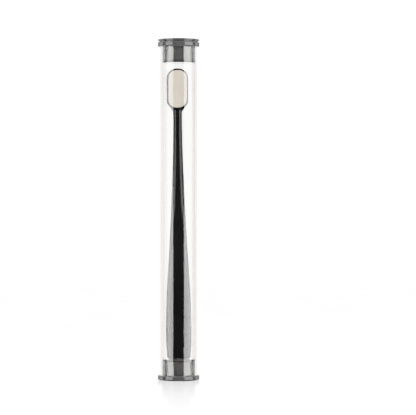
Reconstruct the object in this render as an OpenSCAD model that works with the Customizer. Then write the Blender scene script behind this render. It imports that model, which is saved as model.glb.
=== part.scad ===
// Toothbrush with a dense bristle block, standing in a clear tube case with a plug cap at each end.
// Z runs up the tube's axis and the origin is the centre of the ring that the case stands on.
// The bristles face -Y.

/* [Tube] */
// Outside diameter of the clear tube
tube_od = 22; // [21.6:0.1:24]
// Wall of the clear tube
tube_wall = 0.7; // [0.5:0.05:0.8]
// Length of the clear tube
tube_len = 198.2; // [197:0.2:215]

/* [Plug caps] */
// Diameter of the flange that stops each cap against the tube
flange_od = 25.6; // [25:0.1:28]
// Thickness of that flange
flange_t = 3.2; // [3:0.1:4.5]
// How far each plug reaches into the tube
plug_len = 9.6; // [9:0.1:10.5]
// Radial gap between the plug and the tube
plug_gap = 0.2; // [0.15:0.05:0.3]
// Wall of the hollow plug
plug_wall = 1.7; // [1.6:0.1:2.2]
// Thickness of the plug's closed inner end
plug_end_t = 1.5; // [1.2:0.1:2]
// Thickness of the disc that closes the top cap
disc_t = 1.2; // [1:0.1:2]
// Height of the shadow gap under that disc
disc_gap = 0.4; // [0.3:0.1:0.6]

/* [Seal rings] */
// Section diameter of each rubber ring
seal_d = 1.1; // [1:0.05:1.2]
// Radial gap between the ring and the tube
seal_gap = 0.05; // [0.02:0.01:0.1]

/* [Brush] */
// Length of the brush from its foot to the tip of its head
brush_len = 176; // [168:1:176]
// Largest width of the grip
grip_w = 15.6; // [14:0.1:16]
// Largest thickness of the grip
grip_t = 8.6; // [7.6:0.1:9]
// Width of the slim neck
neck_w = 5.6; // [5.2:0.1:5.8]
// Width of the head
head_w = 13.4; // [12.8:0.1:13.6]
// Thickness of the head, front to back
head_t = 5.2; // [5:0.1:5.4]
// How far the head sits behind the grip's centre plane
head_set_back = 4.6; // [4.2:0.1:4.8]
// Width of the bristle block
bristle_w = 10.7; // [10.4:0.1:11]
// Length of the bristle block along the head
bristle_l = 22.3; // [21:0.1:22.5]
// How far the bristles stand out of the head
bristle_h = 10; // [8:0.5:10]
// How far the loose brush leans to the left in its tube, in degrees
brush_lean = 0.3; // [0:0.05:0.4]
// How far the loose brush is turned to the right in its tube, in degrees
brush_turn = 2; // [0:0.5:6]

/* [Hidden] */

ROUND_FN = 96;      // facets of round walls, rebuilt as true cylinders
SEAL_FN = 32;       // facets around the section of a seal ring
THUMB_FN = 720;     // facets of the cylinder that dishes the thumb rest
ARC_STEPS = 6;      // steps on a rounded edge of a turned profile
CORNER_STEPS = 8;   // steps on each corner of a section of the handle
LOFT_STEPS = 5;     // rings between two stations of the handle
SHOULDER_STEPS = 14;
TIP_STEPS = 14;
OUTLINE_STEPS = 16; // steps on each half of a rounded end of the bristles
TIP_POWER = 2.25;   // 2 is an ellipse, and more is squarer

bore_r = tube_od / 2 - tube_wall;
flange_r = flange_od / 2;
flange_edge_r = 0.9;
plug_r = bore_r - plug_gap;
recess_r = plug_r - plug_wall;
lead_in = 0.4;      // chamfer on the plug's inner end
end_lip = 0.3;      // lip between that end and the seal's groove
groove_h = seal_d + 0.05;
seal_r = bore_r - seal_gap - seal_d / 2;
rib_h = 0.5;        // grip ribs around the plug
rib_reach = 0.1;
rib_places = [2.4, 3.9];

tube_bottom = flange_t;
tube_top = tube_bottom + tube_len;
disc_r = flange_r - 0.1;
disc_edge_r = 0.35;
disc_collar_r = flange_r - 1;
disc_spigot_r = recess_r - 0.05;
disc_spigot_h = 1.6;

foot_gap = 0.1;     // between the brush's foot and the plug it stands on
brush_z = tube_bottom + plug_len + foot_gap;
brush_shift = 0.2;  // of the foot, to the right

foot_corner = 1.6;  // rounding around the foot
tip_z = brush_len;
tip_b = 6.8;        // length of the head's rounded tip
tip_end = 0.01;     // the last ring stops this short of the tip
tip_half_w = 0.8;   // half width of that ring
straight_head = 20.4; // from the top of the shoulder to the tip
shoulder_h = 6.6;
shoulder_high = tip_z - straight_head;
shoulder_low = shoulder_high - shoulder_h;
shoulder_blend = 0.24; // part of the shoulder's outline that is rounded at each end
depth_blend = 0.4;  // the same for its front and back faces
front_gain = 1.3;   // the front's corners sharpen this much sooner than the faces move
head_front = head_set_back - head_t / 2;
head_back = head_set_back + head_t / 2;
head_front_edge = 0.5;
head_back_edge = 1.9;
neck_flat = 0.12;   // part of the neck's half width that is flat
ring_clear = 0.02;  // keeps the corners of a ring from meeting

thumb_rest_z = 84.5; // shallow dish on the front, where the thumb lies
thumb_rest_l = 22;
thumb_rest_depth = 0.5;

plate_margin = 0.45; // of the plate around the bristles
plate_proud = 0.15;  // of the plate above the head's face
plate_t = 1;
pad_t = 0.6;         // fused root pad behind the plate
part_gap = 0.05;     // between parts seated in each other
tip_margin = 1.6;    // from the top of the bristles to the tip of the head
bristle_top = tip_z - tip_margin;
bristle_tip_round = 0.9;

// Stations up the handle to the shoulder: height, half width, half thickness, set-back,
// and the part of the half width that is flat
stations = [
    [0, grip_w / 2 - 0.6, grip_t / 2 - 0.5, 0, 0.58],
    [0.09 * shoulder_low, grip_w / 2, grip_t / 2, 0, 0.6],
    [0.19 * shoulder_low, grip_w / 2 - 0.2, grip_t / 2, 0, 0.58],
    [0.27 * shoulder_low, grip_w / 2 - 0.5, grip_t / 2 - 0.05, 0.05, 0.52],
    [0.36 * shoulder_low, grip_w / 2 - 1.3, grip_t / 2 - 0.25, 0.25, 0.4],
    [0.52 * shoulder_low, neck_w / 2 + 2.3, neck_w / 2 + 0.9, 0.9, 0.24],
    [0.7 * shoulder_low, neck_w / 2 + 1.05, neck_w / 2 + 0.4, 2.1, 0.16],
    [0.84 * shoulder_low, neck_w / 2 + 0.3, neck_w / 2 - 0.1, 3.3, neck_flat],
    [0.93 * shoulder_low, neck_w / 2 + 0.05, neck_w / 2 - 0.25, 4.2, neck_flat],
    [shoulder_low, neck_w / 2, neck_w / 2 - 0.25, head_set_back, neck_flat],
];
below_thumb = 5;     // the station next below the thumb rest

// Smooth curve from b to c, with a before and d after them
function through(a, b, c, d, t) =
    0.5 * (2 * b + (c - a) * t + (2 * a - 5 * b + 4 * c - d) * t * t + (3 * b - a - 3 * c + d) * t * t * t);
function station(i) = stations[max(0, min(len(stations) - 1, i))];
function between(i, t) = through(station(i - 1), station(i), station(i + 1), station(i + 2), t);
function signed_power(v, p) = sign(v) * pow(abs(v), p);
function mix(a, b, t) = a + (b - a) * t;

// Quarter of an oval corner around c, with radii r, from one angle to another
function corner(c, r, from, to) = [
    for (k = [0:CORNER_STEPS]) let (a = mix(from, to, k / CORNER_STEPS))
        [c[0] + r[0] * cos(a), c[1] + r[1] * sin(a)]
];
// Level ring of half width w from front to back, with its front and back corners' radii
function ring(z, w, front, back, rf, rb) = [
    for (p = concat(
        corner([w - rf[0], front + rf[1]], rf, -90, 0), corner([w - rb[0], back - rb[1]], rb, 0, 90),
        corner([rb[0] - w, back - rb[1]], rb, 90, 180), corner([rf[0] - w, front + rf[1]], rf, 180, 270)))
        [p[0], p[1], z]
];
// Level ring at height z of the section that a station gives, made smaller all round by inset
function oval(s, z, inset) =
    let (w = s[1] - inset, t = s[2] - inset, r = [w * (1 - s[4]), t - ring_clear])
    ring(z, w, s[3] - t, s[3] + t, r, r);
function foot_rings() = [
    for (k = [0:ARC_STEPS - 1]) let (a = 90 * k / ARC_STEPS, z = foot_corner * (1 - cos(a)))
        oval(between(0, z / stations[1][0]), z, foot_corner * (1 - sin(a)))
];
function shaft_rings() = [
    for (i = [0:len(stations) - 2]) for (k = [0:LOFT_STEPS - 1]) let (s = between(i, k / LOFT_STEPS))
        if (i > 0 || k > 0) oval(s, s[0], 0)
];

// Straight ramp from 0 to 1 whose two corners are rounded over the part e of it
function ramp(t, e) =
    t < e ? t * t / (2 * e * (1 - e)) :
    t > 1 - e ? 1 - (1 - t) * (1 - t) / (2 * e * (1 - e)) : (t - e / 2) / (1 - e);
// How far a rounding of radius r has dropped at the distance d from where it ends
function rounding_drop(r, d) = r - sqrt(r * r - pow(max(0, r - d), 2));
// Level ring of the head, t of the way up the shoulder, of half width w and d below the tip
function head_ring(z, t, w, d) =
    let (neck = station(len(stations) - 1),
         front = mix(neck[3] - neck[2], head_front, t) + rounding_drop(head_front_edge, d),
         back = mix(neck[3] + neck[2], head_back, t) - rounding_drop(head_back_edge, d),
         round_r = [w * (1 - neck_flat), neck[2] - ring_clear],
         front_r = [head_front_edge, head_front_edge],
         back_r = [min(head_back_edge, w - ring_clear),
                   min(head_back_edge, back - front - head_front_edge - ring_clear)])
    ring(z, w, front, back,
         mix(round_r, front_r, ramp(min(1, t * front_gain), depth_blend)), mix(round_r, back_r, t));
function shoulder_rings() = [
    for (k = [0:SHOULDER_STEPS]) let (t = k / SHOULDER_STEPS)
        head_ring(mix(shoulder_low, shoulder_high, t), ramp(t, depth_blend),
                  mix(neck_w / 2, head_w / 2, ramp(t, shoulder_blend)), tip_z)
];
function tip_rings() = [
    for (k = [0:TIP_STEPS])
        let (a = 90 * k / TIP_STEPS,
             d = max(tip_end, tip_b * (1 - signed_power(sin(a), 2 / TIP_POWER))),
             w = max(tip_half_w, head_w / 2 * signed_power(cos(a), 2 / TIP_POWER)))
        head_ring(tip_z - d, 1, w, d)
];

// Outline of the bristle block, grown by the margin given, symmetric about X = 0
function half_end(r, centre, margin, up) = [
    for (k = [0:OUTLINE_STEPS - 1]) let (a = 90 * k / OUTLINE_STEPS)
        [(r + margin) * signed_power(cos(a), 2 / TIP_POWER),
         centre + up * (r + margin) * signed_power(sin(a), 2 / TIP_POWER)]
];
function turned_round(points) = [for (k = [len(points) - 1:-1:0]) points[k]];
function block_outline(margin) =
    let (r = bristle_w / 2,
         low = half_end(r, bristle_top - bristle_l + r, margin, -1),
         high = half_end(r, bristle_top - r, margin, 1),
         right = concat(turned_round(low), high))
    concat(right, [[0, bristle_top + margin]], [for (p = turned_round(right)) [-p[0], p[1]]]);

// Closed solid from flat rings that all have the same count of points
module skin(rings) {
    n = len(rings[0]);
    last = (len(rings) - 1) * n;
    sides = [
        for (i = [0:len(rings) - 2]) for (k = [0:n - 1]) let (a = i * n + k, b = i * n + (k + 1) % n)
            each [[a, b + n, b], [a, a + n, b + n]]
    ];
    polyhedron([for (r = rings) each r],
               concat([[for (k = [0:n - 1]) k]], sides, [[for (k = [n - 1:-1:0]) last + k]]));
}

// Solid that changes outline along Y, from a list of [outline, y] that runs back to front
module outline_stack(levels) {
    skin([for (o = levels) [for (p = o[0]) [p[0], o[1], p[1]]]]);
}

// Flat solid of an outline in X and Z, from y_low to y_high
module flat_solid(points, y_low, y_high) {
    translate([0, y_high, 0]) rotate([90, 0, 0]) linear_extrude(y_high - y_low) polygon(points);
}

// Stands the brush, modelled upright on the origin, on the bottom plug
module in_tube() {
    translate([brush_shift, 0, brush_z]) rotate([0, -brush_lean, 0]) rotate([0, 0, brush_turn]) children();
}

// Arc of radius r around (cx, cy), from one angle to another
function arc(cx, cy, r, from, to) = [
    for (k = [0:ARC_STEPS]) let (a = mix(from, to, k / ARC_STEPS)) [cx + r * cos(a), cy + r * sin(a)]
];

// Half profile of a plug cap that stands on its flange, radius against height
function cap_profile() =
    let (end = flange_t + plug_len, e = flange_edge_r)
    concat(
        [[recess_r, 0]],
        arc(flange_r - e, e, e, -90, 0),
        arc(flange_r - e, flange_t - e, e, 0, 90),
        [[plug_r, flange_t]],
        [for (p = [for (k = [len(rib_places) - 1:-1:0]) end - rib_places[k]])
            each [[plug_r, p - rib_h / 2], [plug_r + rib_reach, p - rib_h / 4],
                  [plug_r + rib_reach, p + rib_h / 4], [plug_r, p + rib_h / 2]]],
        [[plug_r, end - end_lip - groove_h], [seal_r - seal_d / 2, end - end_lip - groove_h],
         [seal_r - seal_d / 2, end - end_lip], [plug_r - lead_in / 2, end - end_lip], [plug_r - lead_in, end],
         [0, end], [0, end - plug_end_t], [recess_r, end - plug_end_t]]);

module plug_cap() {
    rotate_extrude($fn = ROUND_FN) polygon(cap_profile());
}

module seal_ring() {
    translate([0, 0, flange_t + plug_len - end_lip - groove_h / 2])
        rotate_extrude($fn = ROUND_FN) translate([seal_r, 0]) circle(d = seal_d, $fn = SEAL_FN);
}

// Turns a cap, modelled standing on its flange, over onto the tube's top end
module at_top() {
    translate([0, 0, tube_top + flange_t]) mirror([0, 0, 1]) children();
}

module tube() {
    color([0.9, 0.93, 0.94, 0.3])
        translate([0, 0, tube_bottom]) difference() {
            cylinder(r = tube_od / 2, h = tube_len, $fn = ROUND_FN);
            translate([0, 0, -1]) cylinder(r = bore_r, h = tube_len + 2, $fn = ROUND_FN);
        }
}

module top_cap() {
    color([0.3, 0.3, 0.3]) at_top() plug_cap();
}

module bottom_cap() {
    color([0.3, 0.3, 0.3]) plug_cap();
}

module top_cap_disc() {
    low = tube_top + flange_t;
    color([0.33, 0.33, 0.33]) rotate_extrude($fn = ROUND_FN) polygon(concat(
        [[0, low - disc_spigot_h], [disc_spigot_r, low - disc_spigot_h], [disc_spigot_r, low],
         [disc_collar_r, low], [disc_collar_r, low + disc_gap]],
        arc(disc_r - disc_edge_r, low + disc_gap + disc_edge_r, disc_edge_r, -90, 0),
        arc(disc_r - disc_edge_r, low + disc_gap + disc_t - disc_edge_r, disc_edge_r, 0, 90),
        [[0, low + disc_gap + disc_t]]));
}

module top_seal() {
    color([0.05, 0.05, 0.05]) at_top() seal_ring();
}

module bottom_seal() {
    color([0.05, 0.05, 0.05]) seal_ring();
}

// What the thumb rest takes away: a wide cylinder that lies across the front
module thumb_rest() {
    low = station(below_thumb)[0];
    s = between(below_thumb, (thumb_rest_z - low) / (station(below_thumb + 1)[0] - low));
    r = pow(thumb_rest_l / 2, 2) / (2 * thumb_rest_depth);
    translate([0, s[3] - s[2] + thumb_rest_depth - r, thumb_rest_z]) rotate([0, 90, 0])
        cylinder(r = r, h = grip_w, center = true, $fn = THUMB_FN);
}

module handle() {
    color([0.06, 0.06, 0.06]) in_tube() difference() {
        skin(concat(foot_rings(), shaft_rings(), shoulder_rings(), tip_rings()));
        flat_solid(block_outline(plate_margin + part_gap),
                   head_front - 1, head_front - plate_proud + plate_t + pad_t + part_gap);
        thumb_rest();
    }
}

module bristle_plate() {
    back = head_front - plate_proud + plate_t;
    color([0.1, 0.1, 0.1]) in_tube() difference() {
        flat_solid(block_outline(plate_margin), back - plate_t, back);
        flat_solid(block_outline(part_gap), back - plate_t - 1, back + 1);
    }
}

module bristles() {
    face = head_front - plate_proud;
    tips = face - bristle_h;
    foot = block_outline(plate_margin - part_gap);
    color([0.93, 0.91, 0.86]) in_tube() outline_stack(concat(
        [[foot, face + plate_t + pad_t], [foot, face + plate_t], [block_outline(0), face + plate_t]],
        [for (k = [ARC_STEPS:-1:0]) let (a = 90 * k / ARC_STEPS)
            [block_outline(-bristle_tip_round * (1 - sin(a))), tips + bristle_tip_round * (1 - cos(a))]]));
}

tube();
top_cap();
top_cap_disc();
top_seal();
bottom_cap();
bottom_seal();
handle();
bristle_plate();
bristles();
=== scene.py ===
import math
import random

import bpy
from mathutils import Matrix, Vector


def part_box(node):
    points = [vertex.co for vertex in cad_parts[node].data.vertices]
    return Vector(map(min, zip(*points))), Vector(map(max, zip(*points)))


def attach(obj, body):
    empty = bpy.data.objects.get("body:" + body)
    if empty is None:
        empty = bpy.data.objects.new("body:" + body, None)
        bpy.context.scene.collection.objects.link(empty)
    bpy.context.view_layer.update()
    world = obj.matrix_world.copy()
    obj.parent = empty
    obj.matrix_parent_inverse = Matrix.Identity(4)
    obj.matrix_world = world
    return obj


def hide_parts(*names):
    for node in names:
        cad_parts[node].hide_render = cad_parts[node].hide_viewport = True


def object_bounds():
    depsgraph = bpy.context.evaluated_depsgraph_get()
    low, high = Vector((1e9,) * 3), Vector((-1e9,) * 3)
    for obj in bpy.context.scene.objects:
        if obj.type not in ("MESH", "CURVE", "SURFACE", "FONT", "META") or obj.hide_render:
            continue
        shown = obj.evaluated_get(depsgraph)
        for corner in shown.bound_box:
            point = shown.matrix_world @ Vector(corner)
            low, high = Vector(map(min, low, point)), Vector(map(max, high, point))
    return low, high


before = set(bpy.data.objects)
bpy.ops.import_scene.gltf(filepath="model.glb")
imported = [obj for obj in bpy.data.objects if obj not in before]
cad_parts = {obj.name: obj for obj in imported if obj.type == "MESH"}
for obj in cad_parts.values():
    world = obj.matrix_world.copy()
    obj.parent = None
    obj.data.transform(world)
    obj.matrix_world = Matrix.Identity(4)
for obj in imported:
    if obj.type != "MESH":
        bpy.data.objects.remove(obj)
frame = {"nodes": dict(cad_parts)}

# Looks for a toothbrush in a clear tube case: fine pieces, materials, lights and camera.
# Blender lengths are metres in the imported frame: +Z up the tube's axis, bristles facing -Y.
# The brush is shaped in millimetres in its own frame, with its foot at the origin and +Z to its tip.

CAD_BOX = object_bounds()
MM = 0.001

# Sizes of the brush, in millimetres
GRIP_W, GRIP_T = 15.6, 8.6
NECK_W = 5.6
HEAD_W, HEAD_T = 13.4, 5.2
SET_BACK = 4.6             # of the head, behind the grip's centre plane
TIP_Z, TIP_B = 176.0, 6.8  # height of the tip, and length of its rounded end
TIP_END, TIP_HALF_W = 0.01, 0.8  # how near the tip the last ring is, and its half width
SHOULDER_HIGH = TIP_Z - 20.4
SHOULDER_LOW = SHOULDER_HIGH - 6.6
SHOULDER_BLEND = 0.24      # part of the shoulder's outline that is rounded at each end
DEPTH_BLEND = 0.4          # the same for its front and back faces
FRONT_GAIN = 1.3           # the front's corners sharpen this much sooner than the faces move
HEAD_FRONT = SET_BACK - HEAD_T / 2
HEAD_BACK = SET_BACK + HEAD_T / 2
FRONT_EDGE, BACK_EDGE = 0.5, 1.9
FOOT_CORNER = 1.6
NECK_FLAT = 0.12           # part of its half width that is flat
RING_CLEAR = 0.02          # keeps the corners of a ring from meeting
END_POWER = 2.25           # of the head's and the bristles' rounded ends
THUMB_Z, THUMB_LENGTH, THUMB_DEPTH = 84.5, 22.0, 0.5
THUMB_BLEND = 0.12         # softens the edge of the thumb rest
BELOW_THUMB = 5            # the station next below the thumb rest
FOOT_SHIFT, FOOT_GAP = 0.2, 0.1
LEAN, TURN = math.radians(-0.3), math.radians(2.0)

BRISTLE_W, BRISTLE_L, BRISTLE_H = 10.7, 22.3, 10.0
BRISTLE_TOP = TIP_Z - 1.6
BRISTLE_ROUND = 0.9        # rounding of the block's front edge
PLATE_MARGIN, PLATE_PROUD, PLATE_T = 0.45, 0.15, 1.0
PAD_T, PART_GAP = 0.6, 0.05
FACE_Y = HEAD_FRONT - PLATE_PROUD
COLLAR_EASE = 0.1          # rounding of the collar's front edges
CORE_INSET, CORE_DEPTH = 0.4, 0.8  # of the block behind the outer filaments

# The filaments, in millimetres
SEED = 11
PITCH, JITTER = 0.205, 0.2         # spacing, and how uneven it is, as a part of it
FILAMENT_R, SIDES = 0.118, 5
FILAMENT_LEVELS = ((0.0, 1.0), (0.55, 1.0), (0.965, 0.86), (1.0, 0.42))  # part of length, of radius
CUT_UNEVEN = 0.09                  # how unevenly the tips are cut
SPLAY, EDGE_SPLAY = 0.035, 0.3     # typical lean of a tip, and the part of it kept at the edge

# Stations up the handle: height, half width, half thickness, set-back, and the part that is flat
STATIONS = [
    (0, GRIP_W / 2 - 0.6, GRIP_T / 2 - 0.5, 0, 0.58),
    (0.09 * SHOULDER_LOW, GRIP_W / 2, GRIP_T / 2, 0, 0.6),
    (0.19 * SHOULDER_LOW, GRIP_W / 2 - 0.2, GRIP_T / 2, 0, 0.58),
    (0.27 * SHOULDER_LOW, GRIP_W / 2 - 0.5, GRIP_T / 2 - 0.05, 0.05, 0.52),
    (0.36 * SHOULDER_LOW, GRIP_W / 2 - 1.3, GRIP_T / 2 - 0.25, 0.25, 0.4),
    (0.52 * SHOULDER_LOW, NECK_W / 2 + 2.3, NECK_W / 2 + 0.9, 0.9, 0.24),
    (0.7 * SHOULDER_LOW, NECK_W / 2 + 1.05, NECK_W / 2 + 0.4, 2.1, 0.16),
    (0.84 * SHOULDER_LOW, NECK_W / 2 + 0.3, NECK_W / 2 - 0.1, 3.3, NECK_FLAT),
    (0.93 * SHOULDER_LOW, NECK_W / 2 + 0.05, NECK_W / 2 - 0.25, 4.2, NECK_FLAT),
    (SHOULDER_LOW, NECK_W / 2, NECK_W / 2 - 0.25, SET_BACK, NECK_FLAT),
]
CORNER_STEPS, SPAN_STEPS, END_STEPS = 14, 12, 24
SHARP = math.radians(38)   # edges over this angle stay sharp

# The tube, in metres
TUBE_WALL = 0.7 * MM
TUBE_EASE, TUBE_CLEAR = 0.1 * MM, 0.02 * MM  # rounding of its cut ends, and their gap to the caps

# The studio, in metres and in scene brightness
WHITE = 2.0                # the brightness that shows as white
SHOULDER = ((0.5, 0.5), (0.8, 0.70), (1.2, 0.86), (1.6, 0.95))  # brightness, and how it shows
FLOOR_SIDE, FLOOR_FRONT, FLOOR_BACK = 1.5, 0.3, 1.5
PAINTED_FLOOR_GLOW = (0.42, 1.4)   # painted glow of the board: weaker at the case, which paints shade round its foot where the mirror image shows, and stronger in front of it, where the mirror image fades
PAINTED_GLOW_SPAN = (-0.03, -0.19)      # from where to where, along Y, the painted glow rises
BOX_DISTANCE, BOX_LOW, BOX_HIGH = 0.8, -0.2, 1.0
BOX_RADIANCE, FILL_RADIANCE = 5.5, 2.6
ROOM_GLOW, SIDE_GLOW, BACK_GLOW, CEILING_GLOW = 0.008, 3.0, 0.9, 2.0
CAMERA_DISTANCE = 1.3
VIEW_WIDTH = 0.2520        # of what the camera sees at the tube's axis
VIEW_RIGHT, VIEW_UP = 0.0178, 0.0013  # of the view's middle from the case's


# ---------------------------------------------------------------- meshes

def mesh_object(name, points, faces, material, sharp=SHARP):
    """A smooth-shaded mesh piece whose edges over the angle given stay sharp."""
    mesh = bpy.data.meshes.new(name)
    mesh.from_pydata(points, [], faces)
    mesh.validate()
    mesh.shade_smooth()
    mesh.set_sharp_from_angle(angle=sharp)
    mesh.materials.append(material)
    piece = bpy.data.objects.new(name, mesh)
    bpy.context.scene.collection.objects.link(piece)
    return piece


def strip_faces(rows, columns, wrap_rows=False):
    """Quads between rows of points, where each row closes on itself."""
    faces = []
    for i in range(rows if wrap_rows else rows - 1):
        a, b = i * columns, (i + 1) % rows * columns
        for k in range(columns):
            n = (k + 1) % columns
            faces.append((a + k, a + n, b + n, b + k))
    return faces


def loft(rings):
    """Points and faces of a closed solid through rings that all have the same count of points."""
    n = len(rings[0])
    faces = strip_faces(len(rings), n)
    faces.append(tuple(range(n - 1, -1, -1)))
    faces.append(tuple(range((len(rings) - 1) * n, len(rings) * n)))
    return [p for ring in rings for p in ring], faces


def turned(profile, segments=256):
    """Points and faces of a closed profile of (radius, height) turned about Z."""
    points = []
    for r, z in profile:
        for k in range(segments):
            a = math.tau * k / segments
            points.append((r * math.cos(a), r * math.sin(a), z))
    return points, strip_faces(len(profile), segments, wrap_rows=True)


def arc(cx, cy, r, start, end, steps=8):
    """Points round an arc, from one angle to another, in degrees."""
    angles = [math.radians(start + (end - start) * k / steps) for k in range(steps + 1)]
    return [(cx + r * math.cos(a), cy + r * math.sin(a)) for a in angles]


# ---------------------------------------------------------------- the brush's shape

def brush_matrix():
    """Places the brush's own frame, in millimetres, in the tube."""
    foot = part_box("bottom_cap")[1].z + FOOT_GAP * MM
    place = Matrix.Translation((FOOT_SHIFT * MM, 0, foot))
    return place @ Matrix.Rotation(LEAN, 4, "Y") @ Matrix.Rotation(TURN, 4, "Z") @ Matrix.Scale(MM, 4)


def mix(a, b, t):
    return a + (b - a) * t


def power(v, p):
    return math.copysign(abs(v) ** p, v)


def station(i):
    return STATIONS[max(0, min(len(STATIONS) - 1, i))]


def between(i, t):
    """The station at t of the way from station i to the next, on a smooth curve."""
    def value(a, b, c, d):
        cubic = 3 * b - a - 3 * c + d
        return 0.5 * (2 * b + (c - a) * t + (2 * a - 5 * b + 4 * c - d) * t * t + cubic * t ** 3)
    return [value(*v) for v in zip(station(i - 1), station(i), station(i + 1), station(i + 2))]


def ring(z, w, front, back, rf, rb):
    """A level ring of half width w from front to back, with its front and back corners' radii."""
    corners = [(w - rf[0], front + rf[1], rf, -90), (w - rb[0], back - rb[1], rb, 0),
               (rb[0] - w, back - rb[1], rb, 90), (rf[0] - w, front + rf[1], rf, 180)]
    points = []
    for cx, cy, r, start in corners:
        for k in range(CORNER_STEPS + 1):
            a = math.radians(start + 90 * k / CORNER_STEPS)
            points.append((cx + r[0] * math.cos(a), cy + r[1] * math.sin(a), z))
    return points


def oval(s, z, inset=0.0):
    """A level ring at height z of the section that a station gives, made smaller all round."""
    w, t = s[1] - inset, s[2] - inset
    r = (w * (1 - s[4]), t - RING_CLEAR)
    return ring(z, w, s[3] - t, s[3] + t, r, r)


def foot_rings():
    """The rounded foot of the handle."""
    rings = []
    for k in range(END_STEPS):
        a = math.pi / 2 * k / END_STEPS
        z = FOOT_CORNER * (1 - math.cos(a))
        rings.append(oval(between(0, z / STATIONS[1][0]), z, FOOT_CORNER * (1 - math.sin(a))))
    return rings


def shaft_rings():
    """The grip and the neck, up to the shoulder."""
    rings = []
    for i in range(len(STATIONS) - 1):
        for k in range(SPAN_STEPS):
            s = between(i, k / SPAN_STEPS)
            if s[0] > FOOT_CORNER:
                rings.append(oval(s, s[0]))
    return rings


def ramp(t, e):
    """Straight ramp from 0 to 1 whose two corners are rounded over the part e of it."""
    if t < e:
        return t * t / (2 * e * (1 - e))
    if t > 1 - e:
        return 1 - (1 - t) ** 2 / (2 * e * (1 - e))
    return (t - e / 2) / (1 - e)


def rounding_drop(r, d):
    """How far a rounding of radius r has dropped at the distance d from where it ends."""
    return r - math.sqrt(max(0.0, r * r - max(0.0, r - d) ** 2))


def head_ring(z, t, w, below_tip):
    """A level ring of the head, t of the way up the shoulder."""
    neck = STATIONS[-1]
    front = mix(neck[3] - neck[2], HEAD_FRONT, t) + rounding_drop(FRONT_EDGE, below_tip)
    back = mix(neck[3] + neck[2], HEAD_BACK, t) - rounding_drop(BACK_EDGE, below_tip)
    round_r = (w * (1 - NECK_FLAT), neck[2] - RING_CLEAR)
    front_r = (FRONT_EDGE, FRONT_EDGE)
    back_r = (min(BACK_EDGE, w - RING_CLEAR), min(BACK_EDGE, back - front - FRONT_EDGE - RING_CLEAR))
    u = ramp(min(1.0, t * FRONT_GAIN), DEPTH_BLEND)
    return ring(z, w, front, back,
                [mix(a, b, u) for a, b in zip(round_r, front_r)],
                [mix(a, b, t) for a, b in zip(round_r, back_r)])


def head_rings():
    """The shoulder, and then the head to its rounded tip."""
    rings = []
    for k in range(END_STEPS + 1):
        t = k / END_STEPS
        w = mix(NECK_W / 2, HEAD_W / 2, ramp(t, SHOULDER_BLEND))
        z = mix(SHOULDER_LOW, SHOULDER_HIGH, t)
        rings.append(head_ring(z, ramp(t, DEPTH_BLEND), w, TIP_Z))
    for k in range(END_STEPS + 1):
        a = math.pi / 2 * k / END_STEPS
        rise = power(math.sin(a), 2 / END_POWER)
        z = min(TIP_Z - TIP_END, TIP_Z - TIP_B * (1 - rise))
        w = max(TIP_HALF_W, HEAD_W / 2 * power(max(0.0, math.cos(a)), 2 / END_POWER))
        rings.append(head_ring(z, 1, w, TIP_Z - z))
    return rings


def thumb_rest(point):
    """Presses a point of the front surface back to the shallow dish of the thumb rest."""
    x, y, z = point
    lower, upper = STATIONS[BELOW_THUMB], STATIONS[BELOW_THUMB + 1]
    s = between(BELOW_THUMB, (THUMB_Z - lower[0]) / (upper[0] - lower[0]))
    radius = (THUMB_LENGTH / 2) ** 2 / (2 * THUMB_DEPTH)
    if abs(z - THUMB_Z) > THUMB_LENGTH or y > s[3]:
        return point
    dish = s[3] - s[2] + THUMB_DEPTH - (z - THUMB_Z) ** 2 / (2 * radius)
    h = max(0.0, THUMB_BLEND - abs(dish - y)) / THUMB_BLEND
    return x, max(y, dish) + h * h * THUMB_BLEND / 4, z


def block_outline(margin, steps=28):
    """(x, z) points round the bristle block, grown by the margin."""
    r = BRISTLE_W / 2
    points = []
    for quarter in range(4):
        centre = BRISTLE_TOP - r if quarter < 2 else BRISTLE_TOP - BRISTLE_L + r
        for k in range(steps):
            a = math.pi / 2 * (quarter + k / steps)
            points.append(((r + margin) * power(math.cos(a), 2 / END_POWER),
                           centre + (r + margin) * power(math.sin(a), 2 / END_POWER)))
            if k == 0 and quarter in (0, 2):
                other = BRISTLE_TOP - BRISTLE_L + r if quarter == 0 else BRISTLE_TOP - r
                points.insert(-1, (points[-1][0], other))
    return points


def stack(levels):
    """Points and faces of a solid from (outline, y) levels that run from back to front."""
    return loft([[(x, y, z) for x, z in outline] for outline, y in levels])


# ---------------------------------------------------------------- materials

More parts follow.
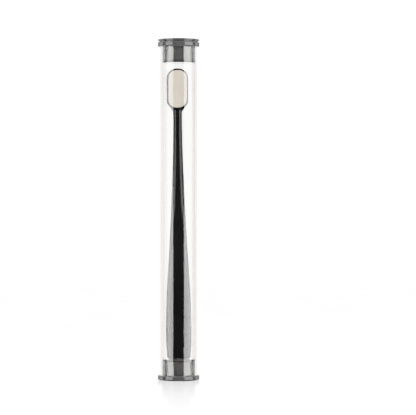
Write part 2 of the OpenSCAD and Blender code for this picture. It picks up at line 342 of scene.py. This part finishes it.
class Look:
    """A material under construction: a Principled shader and the nodes that feed it."""

    def __init__(self, name, colour, roughness, **values):
        self.material = bpy.data.materials.new(name)
        self.material.use_nodes = True
        self.tree = self.material.node_tree
        self.shader = self.tree.nodes["Principled BSDF"]
        self.shader.inputs["Base Color"].default_value = (*colour, 1)
        self.shader.inputs["Roughness"].default_value = roughness
        for socket, value in values.items():
            self.shader.inputs[socket.replace("_", " ")].default_value = value
        self.place = self.node("ShaderNodeTexCoord").outputs["Object"]
        self.normal = None

    def node(self, kind, **settings):
        made = self.tree.nodes.new(kind)
        for key, value in settings.items():
            setattr(made, key, value)
        return made

    def link(self, source, target):
        self.tree.links.new(source, target)

    def noise(self, size, detail=3.0, stretch=(1, 1, 1), roughness=0.5):
        """Noise whose features are about size metres across, stretched by those factors."""
        mapping = self.node("ShaderNodeMapping")
        mapping.inputs["Scale"].default_value = [1 / s for s in stretch]
        texture = self.node("ShaderNodeTexNoise")
        texture.inputs["Scale"].default_value = 1 / size
        texture.inputs["Detail"].default_value = detail
        texture.inputs["Roughness"].default_value = roughness
        self.link(self.place, mapping.inputs["Vector"])
        self.link(mapping.outputs["Vector"], texture.inputs["Vector"])
        return texture.outputs["Fac"]

    def span(self, source, low, high, start=0.3, end=0.7):
        """source from start to end, as a value from low to high."""
        node = self.node("ShaderNodeMapRange")
        for socket, value in zip(("From Min", "From Max", "To Min", "To Max"), (start, end, low, high)):
            node.inputs[socket].default_value = value
        self.link(source, node.inputs["Value"])
        return node.outputs["Result"]

    def colours(self, source, low, high):
        """The base colour, from low to high as source goes from 0.3 to 0.7."""
        ramp_node = self.node("ShaderNodeValToRGB")
        for element, colour, place in zip(ramp_node.color_ramp.elements, (low, high), (0.3, 0.7)):
            element.position = place
            element.color = (*colour, 1)
        self.link(source, ramp_node.inputs["Fac"])
        self.link(ramp_node.outputs["Color"], self.shader.inputs["Base Color"])

    def rough(self, source, low, high):
        self.link(self.span(source, low, high), self.shader.inputs["Roughness"])

    def bump(self, source, height, strength=1.0):
        """Relief of that height in metres, on top of any before it."""
        node = self.node("ShaderNodeBump")
        node.inputs["Strength"].default_value = strength
        node.inputs["Distance"].default_value = height
        self.link(source, node.inputs["Height"])
        if self.normal:
            self.link(self.normal, node.inputs["Normal"])
        self.normal = node.outputs["Normal"]
        self.link(self.normal, self.shader.inputs["Normal"])


def cap_look():
    """Dark grey moulded plastic with a gloss, a faint orange peel and rubbed patches."""
    look = Look("cap_plastic", (0.036, 0.036, 0.036), 0.09, IOR=1.49)
    look.colours(look.noise(6 * MM, 4), (0.031, 0.031, 0.032), (0.041, 0.04, 0.04))
    look.rough(look.noise(2.2 * MM, 5, roughness=0.65), 0.05, 0.13)
    look.bump(look.noise(0.9 * MM, 2), 0.004 * MM)
    look.bump(look.noise(0.12 * MM, 4, stretch=(1, 1, 9)), 0.0012 * MM)
    return look.material


def handle_look():
    """High-gloss black plastic with a faint flow and fine handling marks."""
    look = Look("handle_plastic", (0.0035, 0.0035, 0.004), 0.09, IOR=1.5, Specular_IOR_Level=0.28)
    flow = look.noise(9 * MM, 3, stretch=(1, 1, 4))
    look.colours(flow, (0.0028, 0.0028, 0.003), (0.0045, 0.0045, 0.005))
    look.rough(look.noise(3 * MM, 5, stretch=(1, 1, 3), roughness=0.7), 0.05, 0.13)
    look.bump(look.noise(2.5 * MM, 1), 0.003 * MM)
    look.bump(look.noise(0.15 * MM, 3, stretch=(1, 1, 14)), 0.0006 * MM)
    return look.material


def plate_look():
    """Black plastic of the collar, a little duller than the handle."""
    look = Look("plate_plastic", (0.011, 0.011, 0.011), 0.24)
    look.colours(look.noise(2 * MM), (0.008, 0.008, 0.008), (0.014, 0.014, 0.013))
    look.rough(look.noise(0.6 * MM, 4), 0.16, 0.32)
    look.bump(look.noise(0.25 * MM), 0.002 * MM)
    return look.material


def seal_look():
    """Black rubber with a fine matt grain."""
    look = Look("seal_rubber", (0.009, 0.009, 0.009), 0.5)
    look.colours(look.noise(0.8 * MM), (0.006, 0.006, 0.006), (0.012, 0.012, 0.0115))
    look.rough(look.noise(0.3 * MM, 4), 0.4, 0.62)
    look.bump(look.noise(0.08 * MM, 3), 0.004 * MM)
    return look.material


def filament_look():
    """Milky nylon, each filament of its own tone, with light that carries a little way in."""
    look = Look("bristle_filament", (0.91, 0.85, 0.75), 0.42, Subsurface_Weight=0.25,
                Subsurface_Scale=0.5 * MM, Subsurface_Radius=(1.0, 0.8, 0.6))
    tone = look.node("ShaderNodeNewGeometry").outputs["Random Per Island"]
    look.colours(tone, (0.87, 0.80, 0.69), (0.96, 0.90, 0.80))
    look.rough(look.noise(0.2 * MM), 0.35, 0.5)
    look.bump(look.noise(0.05 * MM, 2, stretch=(1, 12, 1)), 0.001 * MM)
    return look.material


def root_look():
    """Fused foot of the filaments and the core behind them, a darker cream than the filaments as
    painted shade deep among them.
    """
    # darker than the filaments: painted shade of the block's inside
    look = Look("bristle_root", (0.77, 0.72, 0.62), 0.6)
    look.colours(look.noise(0.3 * MM, 4), (0.7, 0.64, 0.54), (0.84, 0.79, 0.7))
    look.bump(look.noise(0.12 * MM, 3), 0.01 * MM)
    return look.material


def tube_look():
    """Clear extruded plastic with faint draw lines along it, which lets lamps reach what it holds."""
    look = Look("clear_plastic", (0.885, 0.874, 0.864), 0.015, IOR=1.47, Transmission_Weight=1.0)
    grazing = look.node("ShaderNodeLayerWeight").outputs["Facing"]
    look.colours(grazing, (0.885, 0.874, 0.864), (0.46, 0.44, 0.43))
    look.rough(look.noise(7 * MM, 4, stretch=(1, 1, 5)), 0.0, 0.03)
    look.bump(look.noise(1.1 * MM, 2, stretch=(1, 1, 60)), 0.0035 * MM)
    paths = look.node("ShaderNodeLightPath")
    seen = look.node("ShaderNodeMath", operation="MAXIMUM")
    look.link(paths.outputs["Is Camera Ray"], seen.inputs[0])
    look.link(paths.outputs["Is Transmission Ray"], seen.inputs[1])
    either = look.node("ShaderNodeMixShader")
    look.link(seen.outputs["Value"], either.inputs["Fac"])
    look.link(look.node("ShaderNodeBsdfTransparent").outputs["BSDF"], either.inputs[1])
    look.link(look.shader.outputs["BSDF"], either.inputs[2])
    look.link(either.outputs["Shader"], look.tree.nodes["Material Output"].inputs["Surface"])
    return look.material


def floor_look():
    """White glossy board that shows a faint, soft mirror image, with a painted glow that is weaker at
    the case, as painted shade round its foot, and stronger in front of it.
    """
    look = Look("white_board", (0.5, 0.5, 0.5), 0.13, Emission_Color=(1, 1, 1, 1))
    look.colours(look.noise(90 * MM, 2), (0.49, 0.49, 0.49), (0.51, 0.51, 0.505))
    look.rough(look.noise(60 * MM, 3), 0.11, 0.16)
    axes = look.node("ShaderNodeSeparateXYZ")
    look.link(look.place, axes.inputs["Vector"])
    # painted light: the board glows, less at the case and behind it as painted shade, more in front
    glow = look.span(axes.outputs["Y"], *PAINTED_FLOOR_GLOW, *PAINTED_GLOW_SPAN)
    look.link(glow, look.shader.inputs["Emission Strength"])
    return look.material


# ---------------------------------------------------------------- pieces

def make_tube(material):
    """The clear tube, with its cut edges eased."""
    low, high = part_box("tube")
    outer = high.x
    inner = outer - TUBE_WALL
    ease = TUBE_EASE
    bottom, top = low.z + TUBE_CLEAR, high.z - TUBE_CLEAR
    straight = 3 * ease             # keeps the rounding's shading out of the long walls
    profile = (arc(outer - ease, bottom + ease, ease, -90, 0, 4)
               + [(outer, bottom + straight), (outer, top - straight)]
               + arc(outer - ease, top - ease, ease, 0, 90, 4)
               + arc(inner + ease, top - ease, ease, 90, 180, 4)
               + [(inner, top - straight), (inner, bottom + straight)]
               + arc(inner + ease, bottom + ease, ease, 180, 270, 4))
    piece = mesh_object("tube_clear", *turned(profile), material)
    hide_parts("tube")
    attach(piece, "case")


def make_handle(material):
    """The handle in one smooth skin, with the recess that the collar sits in."""
    points, faces = loft(foot_rings() + shaft_rings() + head_rings())
    points = [thumb_rest(p) for p in points]
    piece = mesh_object("handle_body", points, faces, material)
    depth = FACE_Y + PLATE_T + PAD_T + PART_GAP
    outline = block_outline(PLATE_MARGIN + PART_GAP)
    cutter = mesh_object("cutter", *stack([(outline, depth), (outline, HEAD_FRONT - 1)]), material)
    cut = piece.modifiers.new("recess", "BOOLEAN")
    cut.object, cut.operation, cut.solver = cutter, "DIFFERENCE", "EXACT"
    bpy.context.view_layer.update()
    finished = piece.evaluated_get(bpy.context.evaluated_depsgraph_get())
    mesh = bpy.data.meshes.new_from_object(finished)
    piece.modifiers.clear()
    piece.data = mesh
    bpy.data.objects.remove(cutter)
    mesh.shade_smooth()
    mesh.set_sharp_from_angle(angle=SHARP)
    mesh.transform(brush_matrix())
    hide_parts("handle")
    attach(piece, "brush")


def make_collar(material):
    """The thin collar round the bristles, with eased edges."""
    ease = COLLAR_EASE
    front, back = FACE_Y + ease, FACE_Y + PLATE_T
    section = (arc(PLATE_MARGIN - ease, front, ease, -90, 0, 3)
               + [(PLATE_MARGIN, back), (PART_GAP, back)]
               + arc(PART_GAP + ease, front, ease, 180, 270, 3))
    rings = [[(x, y, z) for x, z in block_outline(margin)] for margin, y in section]
    points = [p for r in rings for p in r]
    faces = strip_faces(len(rings), len(rings[0]), wrap_rows=True)
    piece = mesh_object("bristle_collar", points, faces, material)
    piece.data.transform(brush_matrix())
    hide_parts("bristle_plate")
    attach(piece, "brush")


def make_roots(material):
    """The fused foot of the bristles, which also closes the block behind its outer rows."""
    foot = block_outline(PLATE_MARGIN - PART_GAP)
    core = block_outline(-CORE_INSET)
    tips = FACE_Y - BRISTLE_H + CORE_DEPTH
    levels = [(foot, FACE_Y + PLATE_T + PAD_T), (foot, FACE_Y + PLATE_T), (core, FACE_Y + PLATE_T),
              (core, tips + CORE_INSET), (block_outline(-2 * CORE_INSET), tips)]
    piece = mesh_object("bristle_roots", *stack(levels), material)
    piece.data.transform(brush_matrix())
    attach(piece, "brush")
    return piece


def filament_places(rng):
    """(x, z, how far inside the block's outline) of each filament, on a loose triangular grid."""
    r = BRISTLE_W / 2
    low, high = BRISTLE_TOP - BRISTLE_L + r, BRISTLE_TOP - r
    rows = int(BRISTLE_L / (PITCH * math.sqrt(3) / 2)) + 1
    columns = int(BRISTLE_W / PITCH) + 2
    for row in range(rows):
        for column in range(columns):
            x = (column - columns / 2 + row % 2 / 2 + rng.uniform(-JITTER, JITTER)) * PITCH
            z = BRISTLE_TOP - (row * math.sqrt(3) / 2 - rng.uniform(-JITTER, JITTER)) * PITCH
            end = max(0.0, z - high, low - z)
            inside = r - (abs(x) ** END_POWER + end ** END_POWER) ** (1 / END_POWER)
            if inside > FILAMENT_R:
                yield x, z, inside


def make_bristles(material):
    """Fine filaments set close together, cut flat and softly rounded round the edge of the block."""
    rng = random.Random(SEED)
    points, faces = [], []
    root = FACE_Y + PLATE_T / 2
    for x, z, inside in filament_places(rng):
        edge = max(0.0, BRISTLE_ROUND - inside)
        drop = BRISTLE_ROUND - math.sqrt(BRISTLE_ROUND ** 2 - edge ** 2)
        tip = FACE_Y - BRISTLE_H + drop * 0.9 + rng.uniform(0.0, CUT_UNEVEN)
        kept = EDGE_SPLAY if inside < BRISTLE_ROUND else 1
        lean_x, lean_z = kept * rng.gauss(0, SPLAY), kept * rng.gauss(0, SPLAY)
        turn = rng.uniform(0, math.tau)
        first = len(points)
        for t, size in FILAMENT_LEVELS:
            r = FILAMENT_R * size
            for k in range(SIDES):
                a = turn + math.tau * k / SIDES
                points.append((x + lean_x * t * t + r * math.cos(a), mix(root, tip, t),
                               z + lean_z * t * t + r * math.sin(a)))
        for quad in strip_faces(len(FILAMENT_LEVELS), SIDES):
            faces.append([first + k for k in quad])
        faces.append(range(len(points) - SIDES, len(points)))
    piece = mesh_object("bristle_filaments", points, faces, material, sharp=math.radians(80))
    piece.data.transform(brush_matrix())
    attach(piece, "brush")
    return piece


# ---------------------------------------------------------------- studio

def make_floor(material, height):
    """The pale board that the case stands on."""
    corners = [(-FLOOR_SIDE, -FLOOR_FRONT), (FLOOR_SIDE, -FLOOR_FRONT),
               (FLOOR_SIDE, FLOOR_BACK), (-FLOOR_SIDE, FLOOR_BACK)]
    board = mesh_object("floor_board", [(x, y, height) for x, y in corners], [(0, 1, 2, 3)], material)
    board.visible_glossy = False    # the gloss of the case and brush shows a dark room in front


def softbox(name, azimuth, half_angle, radiance, low=BOX_LOW, high=BOX_HIGH, mirrored=True):
    """A tall upright soft light, at an azimuth from the camera's side and half_angle wide each way."""
    lamp = bpy.data.lights.new(name, "AREA")
    lamp.shape = "RECTANGLE"
    lamp.size = 2 * BOX_DISTANCE * math.tan(math.radians(half_angle))
    lamp.size_y = high - low
    lamp.energy = radiance * math.pi * lamp.size * lamp.size_y
    holder = bpy.data.objects.new(name, lamp)
    a = math.radians(azimuth)
    place = Vector((math.sin(a), -math.cos(a), 0)) * BOX_DISTANCE
    holder.location = place + Vector((0, 0, (low + high) / 2))
    holder.rotation_euler = place.to_track_quat("Z", "Y").to_euler()
    holder.visible_camera = False
    holder.visible_transmission = False
    holder.visible_glossy = mirrored
    bpy.context.scene.collection.objects.link(holder)


def make_world():
    """White all round to the eye; in reflections a white sweep behind and a dim room in front."""
    world = bpy.data.worlds.new("studio")
    bpy.context.scene.world = world
    world.use_nodes = True
    tree = world.node_tree
    nodes, links = tree.nodes, tree.links
    direction = nodes.new("ShaderNodeTexCoord").outputs["Generated"]

    def along(axis, start, end, low, high):
        dot = nodes.new("ShaderNodeVectorMath")
        dot.operation = "DOT_PRODUCT"
        dot.inputs[1].default_value = axis
        links.new(direction, dot.inputs[0])
        span = nodes.new("ShaderNodeMapRange")
        for socket, value in zip(("From Min", "From Max", "To Min", "To Max"), (start, end, low, high)):
            span.inputs[socket].default_value = value
        links.new(dot.outputs["Value"], span.inputs["Value"])
        return span.outputs["Result"]

    def pick(operation, a, b):
        node = nodes.new("ShaderNodeMath")
        node.operation = operation
        links.new(a, node.inputs[0])
        links.new(b, node.inputs[1])
        return node.outputs["Value"]

    # Parts of the surroundings, by how far a direction agrees with an axis. The sweep's axis leans
    # to the left, so the sweep reaches a little further forward on that side.
    sweep = along((-0.078, 1, 0), 0.175, 0.255, ROOM_GLOW, SIDE_GLOW)
    middle = along((0, 1, 0), 0.3, 0.65, SIDE_GLOW, BACK_GLOW)
    behind = along((0, 1, 0), 0.9, 0.96, 0.0, WHITE)
    ceiling = along((0, 0, 1), 0.75, 0.95, 0.0, CEILING_GLOW)
    paths = nodes.new("ShaderNodeLightPath")
    eye = pick("MAXIMUM", paths.outputs["Is Camera Ray"], paths.outputs["Is Transmission Ray"])
    walls = pick("MINIMUM", sweep, middle)
    reflected = pick("MAXIMUM", pick("MAXIMUM", walls, ceiling), behind)
    choice = nodes.new("ShaderNodeMix")
    links.new(eye, choice.inputs["Factor"])
    links.new(reflected, choice.inputs["A"])
    choice.inputs["B"].default_value = WHITE
    links.new(choice.outputs["Result"], nodes["Background"].inputs["Strength"])
    nodes["Background"].inputs["Color"].default_value = (1, 1, 1, 1)


def soften_highlights():
    """Film-like response: straight up to mid grey, then a shoulder that reaches white at WHITE."""
    view = bpy.context.scene.view_settings
    view.view_transform = "Standard"
    view.use_curve_mapping = True
    mapping = view.curve_mapping
    mapping.white_level = (WHITE, WHITE, WHITE)
    curve = mapping.curves[3]
    for place, value in SHOULDER:
        curve.points.new(place / WHITE, value)
    mapping.update()


def make_camera():
    """Level camera on the bristles' side, a long lens, with the case left of the middle."""
    low, high = CAD_BOX
    middle = (low + high) / 2
    camera = bpy.data.objects.new("camera", bpy.data.cameras.new("camera"))
    camera.data.sensor_width = 36.0
    camera.data.lens = camera.data.sensor_width * CAMERA_DISTANCE / VIEW_WIDTH
    camera.data.clip_start, camera.data.clip_end = 0.01, 50
    camera.location = middle + Vector((VIEW_RIGHT, 0, VIEW_UP))
    camera.location.y = -CAMERA_DISTANCE
    camera.rotation_euler = (math.pi / 2, 0, 0)
    bpy.context.scene.collection.objects.link(camera)
    bpy.context.scene.camera = camera


def set_looks(nodes):
    """Puts the materials on the CAD nodes that show as they are."""
    plastic, rubber = cap_look(), seal_look()
    looks = {"top_cap": plastic, "top_cap_disc": plastic, "bottom_cap": plastic,
             "top_seal": rubber, "bottom_seal": rubber}
    for node, look in looks.items():
        nodes[node].data.materials.clear()
        nodes[node].data.materials.append(look)


def main():
    set_looks(frame["nodes"])
    make_tube(tube_look())
    make_handle(handle_look())
    make_collar(plate_look())
    roots = make_roots(root_look())
    filaments = make_bristles(filament_look())
    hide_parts("bristles")
    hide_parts("bristles")
    make_floor(floor_look(), CAD_BOX[0].z)
    make_world()
    softbox("softbox_left", -52.5, 20.5, 0.95 * BOX_RADIANCE)
    softbox("softbox_right", 58.5, 25, BOX_RADIANCE)
    softbox("fill", 0, 30, FILL_RADIANCE, low=0.0, high=1.2, mirrored=False)
    make_camera()
    soften_highlights()
    bpy.context.view_layer.update()


main()
